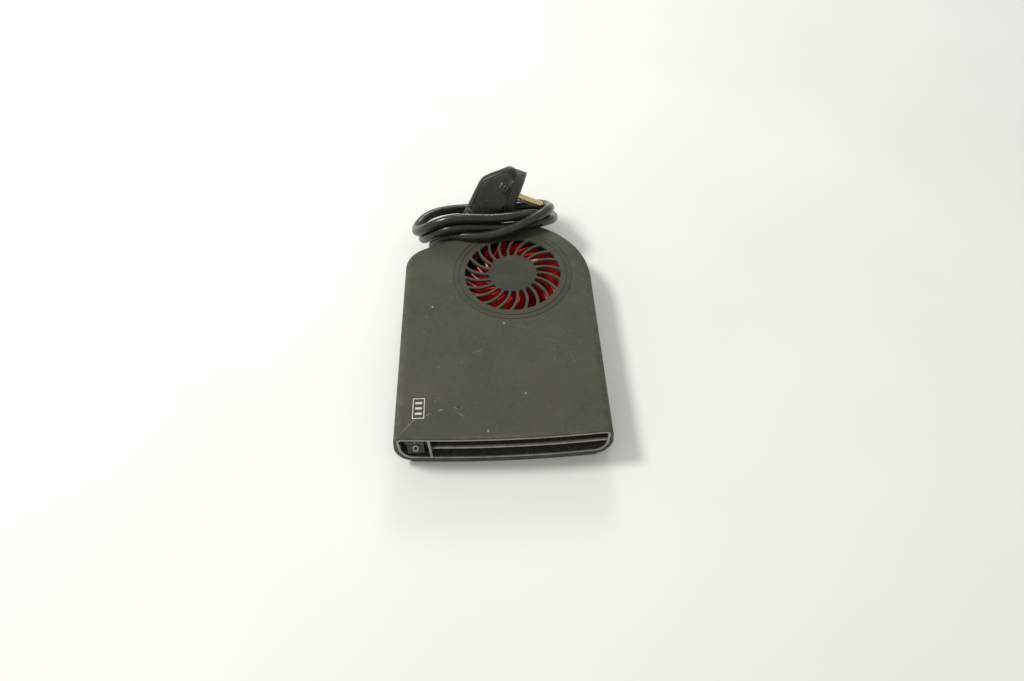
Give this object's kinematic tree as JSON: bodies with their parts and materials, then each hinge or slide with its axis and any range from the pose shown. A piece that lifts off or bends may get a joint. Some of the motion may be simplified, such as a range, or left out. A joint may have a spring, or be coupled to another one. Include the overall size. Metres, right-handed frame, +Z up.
{
  "type": "ceramic fan heater",
  "caption": "Flat ceramic fan heater with a round top intake over a red impeller, a front slot outlet with a rocker switch, a slide-on bracket and a coiled mains lead with an earthed plug.",
  "frame": {"origin": "middle of the body footprint, on the surface that the bracket rests on", "axes": "+X to the right of someone facing the outlet, +Y from the outlet to the back, +Z up"},
  "size_m": [0.132, 0.2288, 0.0645],
  "materials": {
    "casing_plastic": "fine matte texture, olive grey",
    "frame_plastic": "matte, light grey",
    "label_print": "printed film",
    "duct_plastic": "matte, heat resistant",
    "zinc_steel": "zinc plated",
    "switch_plastic": "satin black",
    "contact_brass": "bright",
    "fan_plastic": "glossy, translucent red",
    "motor_steel": "bright",
    "magnet_ferrite": "dark ferrite",
    "bearing_bronze": "sintered bronze",
    "motor_plastic": "matte",
    "winding_copper": "enamelled copper",
    "board_laminate": "green solder mask",
    "heater_frame_plastic": "matte, glass filled",
    "ceramic": "fired ceramic",
    "fin_aluminium": "rolled",
    "gasket_felt": "pressed fibre",
    "component_black": "moulded",
    "component_cream": "ceramic coated",
    "component_blue": "sleeved",
    "terminal_green": "matte",
    "wire_brown": "insulated",
    "wire_blue": "insulated",
    "wire_grey": "braided sleeve",
    "wire_red": "insulated",
    "bracket_plastic": "matte",
    "cord_rubber": "satin black",
    "plug_plastic": "satin black"
  },
  "bodies": {
    "casing": {"top_cover": "casing_plastic", "bottom_cover": "casing_plastic", "front_label": "label_print", "outlet_frame": "frame_plastic", "air_duct": "duct_plastic", "casing_screws": "zinc_steel", "switch_carrier": "duct_plastic", "switch_housing": "switch_plastic", "switch_terminals": "contact_brass", "motor_base": "motor_plastic", "motor_bearings": "bearing_bronze", "stator_core": "motor_steel", "stator_coils": "winding_copper", "motor_board": "board_laminate", "motor_screws": "zinc_steel", "ptc_holder": "heater_frame_plastic", "ptc_stones": "ceramic", "ptc_electrodes": "fin_aluminium", "ptc_fins": "fin_aluminium", "electrode_links": "fin_aluminium", "heater_gasket": "gasket_felt", "thermostat": "component_cream", "thermal_fuse": "component_cream", "control_board": "board_laminate", "rectifier": "component_black", "filter_capacitor": "component_blue", "terminal_block": "terminal_green", "board_screws": "zinc_steel", "live_lead": "wire_brown", "neutral_lead": "wire_blue", "heater_leads": "wire_grey", "motor_lead": "wire_red", "cord_grommet": "cord_rubber", "cord_clamp": "motor_plastic", "clamp_screws": "zinc_steel", "cord_lead": "cord_rubber", "cord_coil": "cord_rubber", "cord_tail": "cord_rubber", "plug_body": "plug_plastic", "plug_pins": "contact_brass", "plug_earth_clips": "contact_brass"},
    "fan": {"impeller": "fan_plastic", "rotor_cup": "motor_steel", "rotor_magnet": "magnet_ferrite", "motor_shaft": "motor_steel", "shaft_clip": "motor_steel"},
    "rocker": {"switch_rocker": "switch_plastic"},
    "bracket": {"mounting_bracket": "bracket_plastic"}
  },
  "joints": [
    {"name": "fan_spin", "type": "hinge", "parent": "casing", "child": "fan", "pos_m": [0.0105, 0.0378, 0.012], "axis": [0, 0, 1], "continuous": true},
    {"name": "switch_rock", "type": "hinge", "parent": "casing", "child": "rocker", "pos_m": [-0.0532, -0.08165, 0.0171], "axis": [1, 0, 0], "range_deg": [0, 22]},
    {"name": "bracket_slide", "type": "slide", "parent": "casing", "child": "bracket", "axis": [0, 1, 0], "range_m": [0, 0.013]}
  ]
}
